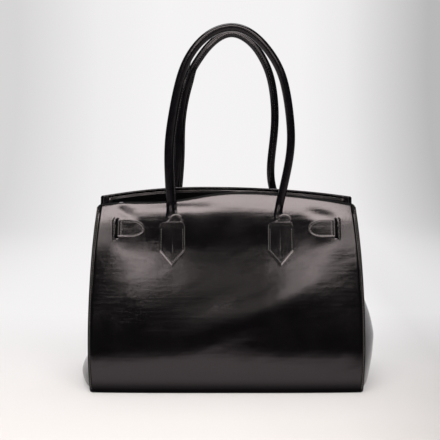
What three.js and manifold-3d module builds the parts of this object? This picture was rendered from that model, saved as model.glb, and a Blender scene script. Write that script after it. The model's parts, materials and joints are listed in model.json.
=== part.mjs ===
// Structured leather shoulder tote with rolled handles, pointed handle tabs and slotted side straps.
// Millimetres, +Z up. The front faces -Y, and the origin is on the floor under the middle of the base.
import * as THREE from 'three';
import { mergeVertices } from 'three/addons/utils/BufferGeometryUtils.js';
import Module from 'manifold-3d';

const wasm = await Module();
wasm.setup();

// Body sizes
const BASE_WIDTH = 345;
const TOP_WIDTH = 332;
const SIDE_BOW = 6;
const BASE_DEPTH = 160;
const MOUTH_DEPTH = 40;
const CORNER_HEIGHT = 232;
const RIM_RISE = 17;
const CORNER_ROUND = 8;

// Sheet thicknesses and the gap between touching sheets
const LEATHER = 2;
const GUSSET_LEATHER = 1.6;
const BASE_LEATHER = 2.4;
const BOARD = 2.5;
const LINING = 0.8;
const FIT = 0.3;

// Side seams and gussets
const SEAM_ALLOWANCE = 5;
const GUSSET_DROP = 4;
const GUSSET_FOOT_SWELL = 5;
const GUSSET_SWELL = 27;
const GUSSET_MIDDLE_SWELL = 15;
const GUSSET_TUCK = 6;
const GUSSET_FOLD = 20;
const GUSSET_LEVELS = 14;
const GUSSET_SPANS = 12;

// Base, rim facing and lining
const BASE_CORNER_ROUND = 6;
const BASE_EDGE_ROUND = 0.6;
const BASE_LAYER_INSET = 8;
const FACING_HEIGHT = 13;
const FACING_SIDE_INSET = SEAM_ALLOWANCE + 6.5;
const LINING_LAP = 6;
const LINING_SIDE_INSET = SEAM_ALLOWANCE + 11;

// Handle tabs
const TAB_SPACING = 138;
const TAB_WIDTH = 33.5;
const TAB_LENGTH = 63;
const TAB_POINT = 19.5;
const TAB_SHOULDER_ROUND = 9;
const TAB_DROP = 14;
const TAB_LEATHER = 2.2;
const TAB_SWELL_WIDTH = 19;
const TAB_SWELL_LENGTH = 24;
const TAB_SWELL_RISE = 4.4;

// Raised stitched border of the tabs and the straps
const BORDER_WIDTH = 2.4;
const BORDER_RISE = 0.6;
const BORDER_SINK = 0.4;

// Handles
const HANDLE_DIAMETER = 10.5;
const HANDLE_ROOT_SWELL = 0.25;
const HANDLE_WALL = 2;
const WELT_WIDTH = 3;
const WELT_THICKNESS = 2.4;
const HANDLE_SEAT = 4.5;
const HANDLE_ROOT_GAP = 0.6;
const HANDLE_STEPS = 32;
const HANDLE_ARC_SEGMENTS = 5;

// Side straps and their slots
const STRAP_WIDTH = 21.5;
const STRAP_LEATHER = 1.6;
const STRAP_TIP_X = 106;
const STRAP_DROP = 29;
const STRAP_TAIL = 12;
const SLOT_X = 144.5;
const SLOT_WIDTH = 6;
const SLOT_CLEARANCE = 0.8;

// Fineness of the curved faces
const OUTLINE_SEGMENTS = 12;
const CORNER_SEGMENTS = 6;
const BALL_SEGMENTS = 18;
const BALL_RINGS = 12;
const MITRE_LIMIT = 0.4;
const MERGE_DISTANCE = 1e-5;

// The handles' routes, each leg as steps in from its root and up from the roots' axis, and the peak between them
const FRONT_ROUTE = {
  left: [[-4, 66.1], [-0.5, 117.1], [10.5, 167.1], [25, 198.1], [47, 223.1]],
  peak: [6, 232.1],
  right: [[-9, 66.1], [-10.5, 117.1], [-2.5, 167.1], [12, 197.1], [35, 222.1]],
};
const REAR_ROUTE = {
  left: [[7, 61.1], [9, 114.1], [18, 167.1], [31, 193.1], [49, 216.1]],
  peak: [6, 227.6],
  right: [[8.5, 61.1], [4.5, 114.1], [10, 167.1], [20, 193.1], [37, 216.1]],
};

// Places that follow from the sizes
const LEAN = Math.atan2((BASE_DEPTH - MOUTH_DEPTH) / 2, CORNER_HEIGHT);
const PANEL_FOOT = BASE_LEATHER + FIT + LEATHER * Math.sin(LEAN);
const PANEL_INSIDE = -LEATHER - FIT;
const STRAP_INSIDE = PANEL_INSIDE - STRAP_LEATHER;
const LINING_FACE = STRAP_INSIDE - FIT;
const BOARD_FOOT = BASE_LEATHER + FIT;
const BASE_LINING_FOOT = BOARD_FOOT + BOARD + FIT;
const LINING_FOOT = BASE_LINING_FOOT + LINING + FIT - (LINING_FACE - LINING) * Math.sin(LEAN);
const HANDLE_RADIUS = HANDLE_DIAMETER / 2;
const HANDLE_END_RADIUS = HANDLE_RADIUS + HANDLE_ROOT_SWELL;
const HANDLE_ROOT_OUT = HANDLE_END_RADIUS + HANDLE_ROOT_GAP;
const BORE_RADIUS = HANDLE_RADIUS - HANDLE_WALL;
const CORE_RADIUS = BORE_RADIUS - FIT;

// Materials
function leather(colour, roughness) {
  return new THREE.MeshStandardMaterial({ color: colour, roughness, metalness: 0 });
}
const PANEL_LEATHER = leather(0x121113, 0.36);
const TRIM_LEATHER = leather(0x0d0c0e, 0.4);
const HANDLE_LEATHER = leather(0x100f12, 0.38);
const LINING_CLOTH = leather(0x1a191b, 0.9);
const STIFF_BOARD = leather(0x6d6252, 0.95);
const CORE_CORD = leather(0xb9ad97, 0.95);

// Solids for cutting and joining
function solidOf(geometry) {
  const bare = geometry.clone();
  bare.deleteAttribute('normal');
  bare.deleteAttribute('uv');
  const merged = mergeVertices(bare, MERGE_DISTANCE);
  const vertProperties = new Float32Array(merged.attributes.position.array);
  const triVerts = new Uint32Array(merged.index.array);
  return new wasm.Manifold(new wasm.Mesh({ numProp: 3, vertProperties, triVerts }));
}

function geometryOf(solid) {
  const mesh = solid.getMesh();
  const geometry = new THREE.BufferGeometry();
  geometry.setAttribute('position', new THREE.BufferAttribute(new Float32Array(mesh.vertProperties), 3));
  geometry.setIndex(new THREE.BufferAttribute(new Uint32Array(mesh.triVerts), 1));
  return geometry;
}

// A flat outline given depth between two levels of its third axis
function plate(shape, from, to, curveSegments = OUTLINE_SEGMENTS) {
  const geometry = new THREE.ExtrudeGeometry(shape, { depth: to - from, bevelEnabled: false, curveSegments });
  geometry.translate(0, 0, from);
  return geometry;
}

function addPiece(group, name, geometry, material) {
  const mesh = new THREE.Mesh(geometry, material);
  mesh.name = name;
  group.add(mesh);
  return mesh;
}

// Half the body's width at a height
function halfWidth(z) {
  const t = z / CORNER_HEIGHT;
  return THREE.MathUtils.lerp(BASE_WIDTH / 2, TOP_WIDTH / 2, t) + SIDE_BOW * 4 * t * (1 - t);
}

// Half the depth between the outer faces of the two leaning panels, at a height
function halfDepth(z) {
  return BASE_DEPTH / 2 - (z - PANEL_FOOT) * Math.tan(LEAN);
}

// Distance up the face of a leaning panel, for a height
function alongPanel(z) {
  return (z - PANEL_FOOT) / Math.cos(LEAN);
}

function halfWidthAlong(s) {
  return halfWidth(PANEL_FOOT + s * Math.cos(LEAN));
}

// The arched rim, as a distance up the panel
function rimAlong(x) {
  const arch = 1 - (2 * x / TOP_WIDTH) ** 2;
  return alongPanel(CORNER_HEIGHT) + RIM_RISE / Math.cos(LEAN) * arch;
}

// Outline of a sheet that follows a panel, drawn in from its sides and its rim
function panelOutline(sideInset, foot, rimDrop, round) {
  const topX = halfWidthAlong(alongPanel(CORNER_HEIGHT)) - sideInset;
  const cornerTop = rimAlong(topX) - rimDrop;
  const sideTop = cornerTop - round;
  const low = halfWidthAlong(foot) - sideInset;
  const high = halfWidthAlong(sideTop) - sideInset;
  const middle = halfWidthAlong((foot + sideTop) / 2) - sideInset;
  const bowX = 2 * middle - (low + high) / 2;
  const bowS = (foot + sideTop) / 2;
  const archX = topX - round;
  const archS = rimAlong(archX) - rimDrop;
  const archPeak = 2 * (rimAlong(0) - rimDrop) - archS;
  const shape = new THREE.Shape();
  shape.moveTo(low, foot);
  shape.quadraticCurveTo(bowX, bowS, high, sideTop);
  shape.quadraticCurveTo(topX, cornerTop, archX, archS);
  shape.quadraticCurveTo(0, archPeak, -archX, archS);
  shape.quadraticCurveTo(-topX, cornerTop, -high, sideTop);
  shape.quadraticCurveTo(-bowX, bowS, -low, foot);
  return shape;
}

// A band under the rim, its lower edge parallel to the rim
function facingOutline() {
  const topX = halfWidth(GUSSET_TOP) - FACING_SIDE_INSET;
  const high = rimAlong(topX);
  const peak = 2 * rimAlong(0) - high;
  const shape = new THREE.Shape();
  shape.moveTo(topX, high - FACING_HEIGHT);
  shape.lineTo(topX, high);
  shape.quadraticCurveTo(0, peak, -topX, high);
  shape.lineTo(-topX, high - FACING_HEIGHT);
  shape.quadraticCurveTo(0, peak - FACING_HEIGHT, topX, high - FACING_HEIGHT);
  return shape;
}

// A block that cuts the slot for a strap through a panel
function slotCutter(x, s) {
  const block = new THREE.BoxGeometry(SLOT_WIDTH, STRAP_WIDTH + 2 * SLOT_CLEARANCE, 4 * LEATHER);
  block.translate(x, s, 0);
  return solidOf(block);
}

// A group whose X runs along a panel, Y up its face and Z out of it; turned half round for the back
function panelFrame(turn) {
  const turned = new THREE.Group();
  turned.rotation.z = turn;
  const face = new THREE.Group();
  face.position.set(0, -BASE_DEPTH / 2, PANEL_FOOT);
  face.rotation.x = Math.PI / 2 - LEAN;
  turned.add(face);
  return { turned, face };
}

// Points offset to one side of a line in the plane, with mitred corners
function offsetLine(line, distance) {
  return line.map((point, i) => {
    const before = line[Math.max(i - 1, 0)];
    const after = line[Math.min(i + 1, line.length - 1)];
    const ahead = after.clone().sub(i === line.length - 1 ? before : point).normalize();
    const behind = point.clone().sub(i === 0 ? point : before).normalize();
    const into = i === 0 ? ahead : behind;
    const normal = new THREE.Vector2(-ahead.y - into.y, ahead.x + into.x).normalize();
    const mitre = Math.max(normal.dot(new THREE.Vector2(-ahead.y, ahead.x)), MITRE_LIMIT);
    return point.clone().addScaledVector(normal, distance / mitre);
  });
}

// A sheet lofted upwards through level lines that all have as many points
function loftedSheet(heights, lineAt, thickness) {
  const positions = [];
  const indices = [];
  const loops = heights.map((z) => {
    const line = lineAt(z);
    const right = offsetLine(line, -thickness / 2);
    const left = offsetLine(line, thickness / 2);
    return [...right, ...left.reverse()].map((p) => positions.push(p.x, p.y, z) / 3 - 1);
  });
  const quad = (a, b, c, d) => indices.push(a, b, c, a, c, d);
  const around = loops[0].length;
  for (let level = 0; level < loops.length - 1; level += 1) {
    for (let i = 0; i < around; i += 1) {
      const next = (i + 1) % around;
      const corners = [loops[level][i], loops[level][next], loops[level + 1][next], loops[level + 1][i]];
      // Both faces are split along the same diagonal, so that sheets laid on each other stay apart
      if (i >= around / 2) corners.push(corners.shift());
      quad(...corners);
    }
  }
  const bottom = loops[0];
  const top = loops[loops.length - 1];
  for (let i = 0; i < around / 2 - 1; i += 1) {
    const far = around - 1 - i;
    quad(bottom[i], bottom[far], bottom[far - 1], bottom[i + 1]);
    quad(top[i], top[i + 1], top[far - 1], top[far]);
  }
  const geometry = new THREE.BufferGeometry();
  geometry.setAttribute('position', new THREE.Float32BufferAttribute(positions, 3));
  geometry.setIndex(indices);
  return geometry;
}

// How far a gusset stands out of the seam lines, at even steps up: it swells low and folds in at the mouth
const GUSSET_TOP = CORNER_HEIGHT - GUSSET_DROP;
const SWELL_STEPS = [GUSSET_FOOT_SWELL, GUSSET_SWELL, GUSSET_MIDDLE_SWELL, -GUSSET_TUCK, -GUSSET_FOLD];
const swellCurve = new THREE.SplineCurve(
  SWELL_STEPS.map((swell, i) => new THREE.Vector2(GUSSET_TOP * i / (SWELL_STEPS.length - 1), swell)),
);
function gussetSwell(z) {
  return swellCurve.getPoint(z / GUSSET_TOP).y;
}

// The levels that the gusset and its lining share
const LINING_LEVELS = Array.from(
  { length: GUSSET_LEVELS + 1 },
  (_, i) => LINING_FOOT + (GUSSET_TOP - LINING_FOOT) * i / GUSSET_LEVELS,
);

// Half the gusset's depth at a height, from the middle to the middle of its seam leather
function gussetHalfDepth(z) {
  return halfDepth(z) + PANEL_INSIDE / Math.cos(LEAN) - GUSSET_LEATHER / 2;
}

// The gusset's line between its two seams
function gussetBody(z) {
  const reach = gussetHalfDepth(z);
  return Array.from({ length: GUSSET_SPANS + 1 }, (_, i) => {
    const across = 2 * i / GUSSET_SPANS - 1;
    const x = halfWidth(z) - SEAM_ALLOWANCE + gussetSwell(z) * Math.cos(Math.PI / 2 * across);
    return new THREE.Vector2(x, reach * across);
  });
}

function gussetLine(z) {
  const reach = gussetHalfDepth(z);
  const edge = halfWidth(z);
  return [new THREE.Vector2(edge, -reach), ...gussetBody(z), new THREE.Vector2(edge, reach)];
}

// The lining follows the gusset's inner face and stops one span short of each seam
function gussetLiningLine(z) {
  return offsetLine(gussetBody(z), (GUSSET_LEATHER + LINING) / 2 + FIT).slice(1, -1);
}

// A rectangle with rounded corners, centred on the origin
function roundedRectangle(width, depth, round) {
  const x = width / 2;
  const y = depth / 2;
  const shape = new THREE.Shape();
  shape.moveTo(-x + round, -y);
  shape.lineTo(x - round, -y);
  shape.absarc(x - round, -y + round, round, -Math.PI / 2, 0);
  shape.lineTo(x, y - round);
  shape.absarc(x - round, y - round, round, 0, Math.PI / 2);
  shape.lineTo(-x + round, y);
  shape.absarc(-x + round, y - round, round, Math.PI / 2, Math.PI);
  shape.lineTo(-x, -y + round);
  shape.absarc(-x + round, -y + round, round, Math.PI, 1.5 * Math.PI);
  return shape;
}

// The base leather: a rounded sheet with softened edges, flat underneath
function basePanel() {
  const round = BASE_EDGE_ROUND;
  const outline = roundedRectangle(BASE_WIDTH - 2 * round, BASE_DEPTH - 2 * round, BASE_CORNER_ROUND);
  const geometry = new THREE.ExtrudeGeometry(outline, {
    depth: BASE_LEATHER - 2 * round,
    bevelThickness: round,
    bevelSize: round,
    bevelSegments: 2,
    curveSegments: CORNER_SEGMENTS,
  });
  geometry.translate(0, 0, round);
  return geometry;
}

// A flat layer on the base, inside the walls
function baseLayer(foot, thickness) {
  const width = BASE_WIDTH - 2 * (SEAM_ALLOWANCE + GUSSET_LEATHER);
  const depth = 2 * (halfDepth(foot + thickness) + PANEL_INSIDE / Math.cos(LEAN) - FIT);
  return plate(roundedRectangle(width, depth, BASE_LAYER_INSET), foot, foot + thickness, CORNER_SEGMENTS);
}

// A pentagon with its point down and its top shoulders rounded, drawn in all round by an inset
function tabOutline(inset) {
  const side = TAB_WIDTH / 2 - inset;
  const slope = Math.atan2(TAB_POINT, TAB_WIDTH / 2);
  const tip = -TAB_LENGTH + inset / Math.cos(slope);
  const shoulder = tip + side * Math.tan(slope);
  const round = TAB_SHOULDER_ROUND - inset;
  const shape = new THREE.Shape();
  shape.moveTo(0, tip);
  shape.lineTo(side, shoulder);
  shape.lineTo(side, -inset - round);
  shape.quadraticCurveTo(side, -inset, side - round, -inset);
  shape.lineTo(-side + round, -inset);
  shape.quadraticCurveTo(-side, -inset, -side, -inset - round);
  shape.lineTo(-side, shoulder);
  shape.closePath();
  return shape;
}

// A raised rim between an outline and the same outline drawn in
function border(outline, face) {
  const rim = outline(0);
  rim.holes.push(outline(BORDER_WIDTH));
  return solidOf(plate(rim, face - BORDER_SINK, face + BORDER_RISE, CORNER_SEGMENTS));
}

// A handle tab: bordered leather that swells over the sewn-in handle end and seats its round root
function handleTab() {
  const face = FIT + TAB_LEATHER;
  const sheet = solidOf(plate(tabOutline(0), FIT, face, CORNER_SEGMENTS));
  const swellShape = new THREE.SphereGeometry(0.5, BALL_SEGMENTS, BALL_RINGS);
  swellShape.scale(TAB_SWELL_WIDTH, TAB_SWELL_LENGTH, 2 * TAB_SWELL_RISE);
  swellShape.translate(0, -TAB_SWELL_LENGTH / 2 - BORDER_WIDTH, FIT);
  const prism = solidOf(plate(tabOutline(0), FIT, face + 2 * TAB_SWELL_RISE, CORNER_SEGMENTS));
  const swell = solidOf(swellShape).intersect(prism);
  const root = new THREE.SphereGeometry(HANDLE_END_RADIUS + FIT, BALL_SEGMENTS, BALL_RINGS);
  root.translate(0, HANDLE_SEAT, HANDLE_ROOT_OUT);
  return geometryOf(sheet.add(swell).add(border(tabOutline, face)).subtract(solidOf(root)));
}

// A strap end with a half-round tip towards the middle of the bag, drawn in by an inset
function strapTip(inset, reach) {
  const half = STRAP_WIDTH / 2 - inset;
  const centre = STRAP_TIP_X + STRAP_WIDTH / 2;
  const shape = new THREE.Shape();
  shape.moveTo(reach - inset, -half);
  shape.lineTo(reach - inset, half);
  shape.lineTo(centre, half);
  shape.absarc(centre, 0, half, Math.PI / 2, 1.5 * Math.PI);
  shape.closePath();
  return shape;
}

// A side strap: it lies on the panel, turns in through its slot and ends flat inside
function sideStrap() {
  const face = FIT + STRAP_LEATHER;
  const neck = SLOT_X - STRAP_LEATHER / 2;
  const neckBack = SLOT_X + STRAP_LEATHER / 2;
  const tail = neckBack + STRAP_TAIL;
  const section = new THREE.Shape();
  section.moveTo(STRAP_TIP_X, FIT);
  section.lineTo(neck, FIT);
  section.lineTo(neck, STRAP_INSIDE);
  section.lineTo(tail, STRAP_INSIDE);
  section.lineTo(tail, PANEL_INSIDE);
  section.lineTo(neckBack, PANEL_INSIDE);
  section.lineTo(neckBack, face);
  section.lineTo(STRAP_TIP_X, face);
  section.closePath();
  const strip = plate(section, -STRAP_WIDTH / 2, STRAP_WIDTH / 2);
  strip.rotateX(Math.PI / 2);
  const trim = solidOf(plate(strapTip(0, tail + FIT), STRAP_INSIDE - FIT, face + FIT));
  const rim = border((inset) => strapTip(inset, neck), face);
  return geometryOf(solidOf(strip).intersect(trim).add(rim));
}

// A handle's section: a round roll with the welt of its seam on the inner side
function handleSection() {
  const half = WELT_THICKNESS / 2;
  const start = Math.acos(half / HANDLE_RADIUS);
  const shape = new THREE.Shape();
  shape.moveTo(half, HANDLE_RADIUS * Math.sin(start));
  shape.lineTo(half, HANDLE_RADIUS + WELT_WIDTH);
  shape.lineTo(-half, HANDLE_RADIUS + WELT_WIDTH);
  shape.lineTo(-half, HANDLE_RADIUS * Math.sin(start));
  shape.absarc(0, 0, HANDLE_RADIUS, Math.PI - start, 2 * Math.PI + start);
  return shape;
}

function ringPath(radius) {
  const path = new THREE.Path();
  path.absarc(0, 0, radius, 0, 2 * Math.PI);
  return path;
}

function alongRoute(shape, route) {
  return new THREE.ExtrudeGeometry(shape, {
    steps: HANDLE_STEPS,
    extrudePath: route,
    curveSegments: HANDLE_ARC_SEGMENTS,
  });
}

// The round root at one end of a handle, bored through for the core
function handleRoot(route, end) {
  const ball = new THREE.SphereGeometry(HANDLE_END_RADIUS, BALL_SEGMENTS, BALL_RINGS);
  const length = 4 * HANDLE_END_RADIUS;
  const bore = new THREE.CylinderGeometry(BORE_RADIUS, BORE_RADIUS, length, 4 * HANDLE_ARC_SEGMENTS);
  const up = new THREE.Vector3(0, 1, 0);
  bore.applyQuaternion(new THREE.Quaternion().setFromUnitVectors(up, route.getTangent(end)));
  const place = route.getPoint(end);
  const root = solidOf(ball).subtract(solidOf(bore));
  return root.translate([place.x, place.y, place.z]);
}

// A handle's line from its left root over the peak to its right root
function handleRoute({ left, peak, right }, y, axisHeight) {
  const half = TAB_SPACING / 2;
  const line = [
    [-half, 0],
    ...left.map(([inwards, up]) => [-half + inwards, up]),
    peak,
    ...right.map(([inwards, up]) => [half - inwards, up]).reverse(),
    [half, 0],
  ];
  return new THREE.CatmullRomCurve3(line.map(([x, up]) => new THREE.Vector3(x, y, axisHeight + up)));
}

// The leather cover and the cord core of one handle, between its two ends
function handlePieces(route) {
  const roll = handleSection();
  roll.holes.push(ringPath(BORE_RADIUS));
  const cover = solidOf(alongRoute(roll, route)).add(handleRoot(route, 0)).add(handleRoot(route, 1));
  const cord = new THREE.Shape(ringPath(CORE_RADIUS).getPoints(HANDLE_ARC_SEGMENTS));
  return { cover: geometryOf(cover), core: alongRoute(cord, route) };
}

// Assembly
const tote = new THREE.Group();
const strapAlong = alongPanel(CORNER_HEIGHT - STRAP_DROP);
const tabTop = alongPanel(CORNER_HEIGHT - TAB_DROP);
const front = panelFrame(0);
const back = panelFrame(Math.PI);
tote.add(front.turned, back.turned);

const panel = plate(panelOutline(0, 0, 0, CORNER_ROUND), -LEATHER, 0);
const slots = slotCutter(-SLOT_X, strapAlong).add(slotCutter(SLOT_X, strapAlong));
const slottedPanel = geometryOf(solidOf(panel).subtract(slots));
const liningOutline = panelOutline(
  LINING_SIDE_INSET,
  alongPanel(LINING_FOOT),
  FACING_HEIGHT - LINING_LAP,
  CORNER_ROUND,
);

for (const [side, frame, sheet] of [['front', front, slottedPanel], ['back', back, panel]]) {
  addPiece(frame.face, `${side}_panel`, sheet, PANEL_LEATHER);
  addPiece(frame.face, `${side}_rim_facing`, plate(facingOutline(), STRAP_INSIDE, PANEL_INSIDE), TRIM_LEATHER);
  addPiece(frame.face, `${side}_lining`, plate(liningOutline, LINING_FACE - LINING, LINING_FACE), LINING_CLOTH);
  for (const [hand, way] of [['left', -1], ['right', 1]]) {
    const across = side === 'front' ? way : -way;
    const tab = addPiece(frame.face, `${side}_${hand}_handle_tab`, handleTab(), TRIM_LEATHER);
    tab.position.set(across * TAB_SPACING / 2, tabTop, 0);
  }
}

const strapRight = addPiece(front.face, 'right_side_strap', sideStrap(), TRIM_LEATHER);
strapRight.position.y = strapAlong;
const strapLeft = addPiece(front.face, 'left_side_strap', sideStrap(), TRIM_LEATHER);
strapLeft.position.y = strapAlong;
strapLeft.geometry.scale(-1, 1, 1);
strapLeft.geometry.setIndex([...strapLeft.geometry.index.array].reverse());

for (const [hand, turn] of [['right', 0], ['left', Math.PI]]) {
  const sideGroup = new THREE.Group();
  sideGroup.rotation.z = turn;
  tote.add(sideGroup);
  const wall = loftedSheet([BOARD_FOOT, ...LINING_LEVELS], gussetLine, GUSSET_LEATHER);
  addPiece(sideGroup, `${hand}_gusset`, wall, PANEL_LEATHER);
  const cloth = loftedSheet(LINING_LEVELS, gussetLiningLine, LINING);
  addPiece(sideGroup, `${hand}_gusset_lining`, cloth, LINING_CLOTH);
}

addPiece(tote, 'base_panel', basePanel(), PANEL_LEATHER);
addPiece(tote, 'base_board', baseLayer(BOARD_FOOT, BOARD), STIFF_BOARD);
addPiece(tote, 'base_lining', baseLayer(BASE_LINING_FOOT, LINING), LINING_CLOTH);

// The handles stand upright on an axis through their round roots, just over the tabs' top edges
const rootUp = tabTop + HANDLE_SEAT;
const axisHeight = PANEL_FOOT + rootUp * Math.cos(LEAN) + HANDLE_ROOT_OUT * Math.sin(LEAN);
const axisDepth = BASE_DEPTH / 2 - rootUp * Math.sin(LEAN) + HANDLE_ROOT_OUT * Math.cos(LEAN);
for (const [side, steps, y] of [['front', FRONT_ROUTE, -axisDepth], ['rear', REAR_ROUTE, axisDepth]]) {
  const { cover, core } = handlePieces(handleRoute(steps, y, axisHeight));
  addPiece(tote, `${side}_handle_cover`, cover, HANDLE_LEATHER);
  addPiece(tote, `${side}_handle_core`, core, CORE_CORD);
}

export default tote;
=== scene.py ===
"""A structured black leather shoulder tote: leaning panels, swelling gussets, rolled handles and straps."""
import json
import math
from functools import lru_cache

import bpy
import numpy as np
from bpy.props import FloatProperty, FloatVectorProperty, IntProperty, PointerProperty
from mathutils import Euler, Matrix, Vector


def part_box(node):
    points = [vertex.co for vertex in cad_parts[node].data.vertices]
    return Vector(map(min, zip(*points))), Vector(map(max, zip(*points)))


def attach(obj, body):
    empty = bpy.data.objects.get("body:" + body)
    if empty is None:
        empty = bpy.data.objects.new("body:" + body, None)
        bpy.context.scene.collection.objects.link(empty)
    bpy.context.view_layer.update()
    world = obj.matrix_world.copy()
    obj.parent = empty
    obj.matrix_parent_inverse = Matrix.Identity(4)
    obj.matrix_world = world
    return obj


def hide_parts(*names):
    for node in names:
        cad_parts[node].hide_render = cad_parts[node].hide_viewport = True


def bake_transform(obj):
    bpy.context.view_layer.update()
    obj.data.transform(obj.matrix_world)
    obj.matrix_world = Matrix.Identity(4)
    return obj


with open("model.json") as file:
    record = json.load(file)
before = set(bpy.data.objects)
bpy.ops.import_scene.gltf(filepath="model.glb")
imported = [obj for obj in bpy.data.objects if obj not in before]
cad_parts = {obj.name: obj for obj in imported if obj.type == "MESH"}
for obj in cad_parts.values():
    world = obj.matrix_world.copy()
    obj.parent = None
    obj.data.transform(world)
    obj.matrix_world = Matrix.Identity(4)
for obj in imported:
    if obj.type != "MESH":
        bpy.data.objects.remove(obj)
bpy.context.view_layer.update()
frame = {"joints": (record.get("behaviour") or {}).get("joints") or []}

bl_info = {
    "name": "Leather shoulder tote",
    "version": (1, 0, 0),
    "blender": (4, 5, 0),
    "location": "View3D > Sidebar > Tote",
    "description": "Builds a leather shoulder tote on its packed frame, piece by piece",
    "category": "Object",
}

MM = 0.001
BASE_LOW, BASE_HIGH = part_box("base_panel")
FRONT_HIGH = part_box("front_panel")[1]
TAB_LOW, TAB_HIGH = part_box("front_right_handle_tab")
STRAP_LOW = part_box("right_side_strap")[0]
SWING = next(joint for joint in frame["joints"] if joint["name"] == "front_handle_swing")
AXIS_DEPTH = abs(SWING["pos_m"][1])
AXIS_HEIGHT = SWING["pos_m"][2]


# Sizes and colours that a user may change


def metres(name, description, default):
    """A length that a user may change."""
    return FloatProperty(name=name, description=description, unit="LENGTH", default=default)


def tone(name, description, default):
    """A colour that a user may change."""
    return FloatVectorProperty(name=name, description=description, subtype="COLOR", size=3, default=default)


class ToteSizes(bpy.types.PropertyGroup):
    """Sizes of the leather body, the tabs, straps, handles and stitches."""

    base_width: metres("Base width", "Width of the base from side to side", BASE_HIGH[0] - BASE_LOW[0])
    top_width: metres("Top width", "Width of a panel at its upper corners", 333.5 * MM)
    side_bow: metres("Side bow", "How far a panel's sides bow out at mid height", 5 * MM)
    corner_height: metres("Corner height", "Height of the panels' upper corners", 232 * MM)
    rim_height: metres("Rim height", "Height of the arched rim at its middle", FRONT_HIGH[2])
    back_lift: metres("Back lift", "How much higher the back panel's corners stand", 5.5 * MM)
    back_swell: metres("Back swell", "How far the back rim rises on its left", 2.4 * MM)
    rim_dip: metres("Rim dip", "How far the front rim sags on its left", 8.5 * MM)
    corner_round: metres("Corner round", "Rounding of the upper corners", 5 * MM)
    foot_depth: metres("Foot depth", "From the middle to the front panel just above the floor", 86 * MM)
    foot_gap: metres("Foot gap", "From the floor to the panels' turned lower edges", 0.6 * MM)
    side_draw: metres("Side draw", "How far the side seams draw a panel back", 9 * MM)
    leather: metres("Leather", "Thickness of the panel leather", 2 * MM)
    seam: metres("Seam allowance", "Width of the side seams", 5 * MM)
    base_leather: metres("Base leather", "Thickness of the base leather", BASE_HIGH[2] - BASE_LOW[2])
    tab_spacing: metres("Tab spacing", "Between the middles of a panel's two tabs", TAB_LOW[0] + TAB_HIGH[0])
    tab_width: metres("Tab width", "Width of a handle tab", TAB_HIGH[0] - TAB_LOW[0])
    tab_length: metres("Tab length", "Length of a handle tab to its point", 66 * MM)
    tab_point: metres("Tab point", "Length of a tab's pointed part", 19.5 * MM)
    tab_top: metres("Tab top", "Height of the tabs' top edges", 221 * MM)
    tab_leather: metres("Tab leather", "Thickness of a tab", 1.6 * MM)
    strap_width: metres("Strap width", "Width of a side strap", 21.5 * MM)
    strap_tip: metres("Strap tip", "From the middle to a strap's round tip", STRAP_LOW[0] - 2.6 * MM)
    strap_height: metres("Strap height", "Height of the straps' middle line", 203 * MM)
    strap_leather: metres("Strap leather", "Thickness of a strap", 1.8 * MM)
    slot_place: metres("Slot place", "From the middle to a strap slot", 139.8 * MM)
    slot_width: metres("Slot width", "Width of a strap slot", 4.4 * MM)
    handle_radius: metres("Handle radius", "Radius of a handle's leather roll", 5.25 * MM)
    welt: metres("Welt", "How far a handle's seam stands out of the roll", 3 * MM)
    border: metres("Border", "Width of the raised border on tabs and straps", 2 * MM)
    stitch_pitch: metres("Stitch pitch", "From one stitch to the next", 3.2 * MM)
    grid_columns: IntProperty(
        name="Panel columns", description="Columns of faces across a panel", default=280, min=24)
    grid_rows: IntProperty(
        name="Panel rows", description="Rows of faces up a panel", default=128, min=24)


class ToteColours(bpy.types.PropertyGroup):
    """Colours of the finishes."""

    panel: tone("Panel leather", "Colour of the body leather", (0.0014, 0.0013, 0.0015))
    trim: tone("Trim leather", "Colour of the tabs, straps and facings", (0.0013, 0.0012, 0.0014))
    handle: tone("Handle leather", "Colour of the handles", (0.0014, 0.0013, 0.0017))
    thread: tone("Thread", "Colour of the stitches", (0.05, 0.047, 0.047))
    seam_thread: tone("Seam thread", "Colour of the side seams' stitches", (0.07, 0.064, 0.061))
    handle_thread: tone("Handle thread", "Colour of the handles' stitches", (0.018, 0.017, 0.017))
    lining: tone("Lining", "Colour of the lining cloth", (0.005, 0.0048, 0.0053))
    paper: tone("Studio paper", "Colour of the floor and backdrop", (0.88, 0.865, 0.87))


# Shape of the leather body, in metres; x to the right, z up, depth from the middle plane outwards

# A panel's lean from the upright: heights in millimetres and degrees, turned under low and rolled back high
LEANS = (
    (0, -16), (4.4, -9), (6.5, -7), (9, -5.5), (12, -4), (17, -2.5), (24, -0.5), (32, 3), (50, 8), (62, 11),
    (80, 12.4), (100, 13.3), (118, 14.3), (140, 15.6), (160, 16.8), (175, 17.8), (185, 19.3), (195, 20.8),
    (212, 22), (222, 24.4), (230, 28), (238, 29.5), (252, 30),
)
LEAN_HEIGHTS, LEAN_ANGLES = zip(*LEANS)
LEAN_STEP = 0.5
LEAN_SHARES = 160
# The lean follows the rim's arch by this share of its drop, from one height in millimetres to the other
ARCH_SHARE = 0.82
ARCH_FROM, ARCH_TO = 150, 215
BACK_CORNER = 0.3
FOOT_REFERENCE = 24 * MM
FOOT_ROUND = 4 * MM
SEAM_BAND = 4.2 * MM
SLOPE_STEP = 0.5 * MM
# Where the front rim sags and the back one rises, and half how long, as shares of the half width
DIP_PLACE, DIP_HALF = -0.45, 0.33
RISE_PLACE, RISE_HALF, RISE_ALL = -0.55, 0.5, 0.3
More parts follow.
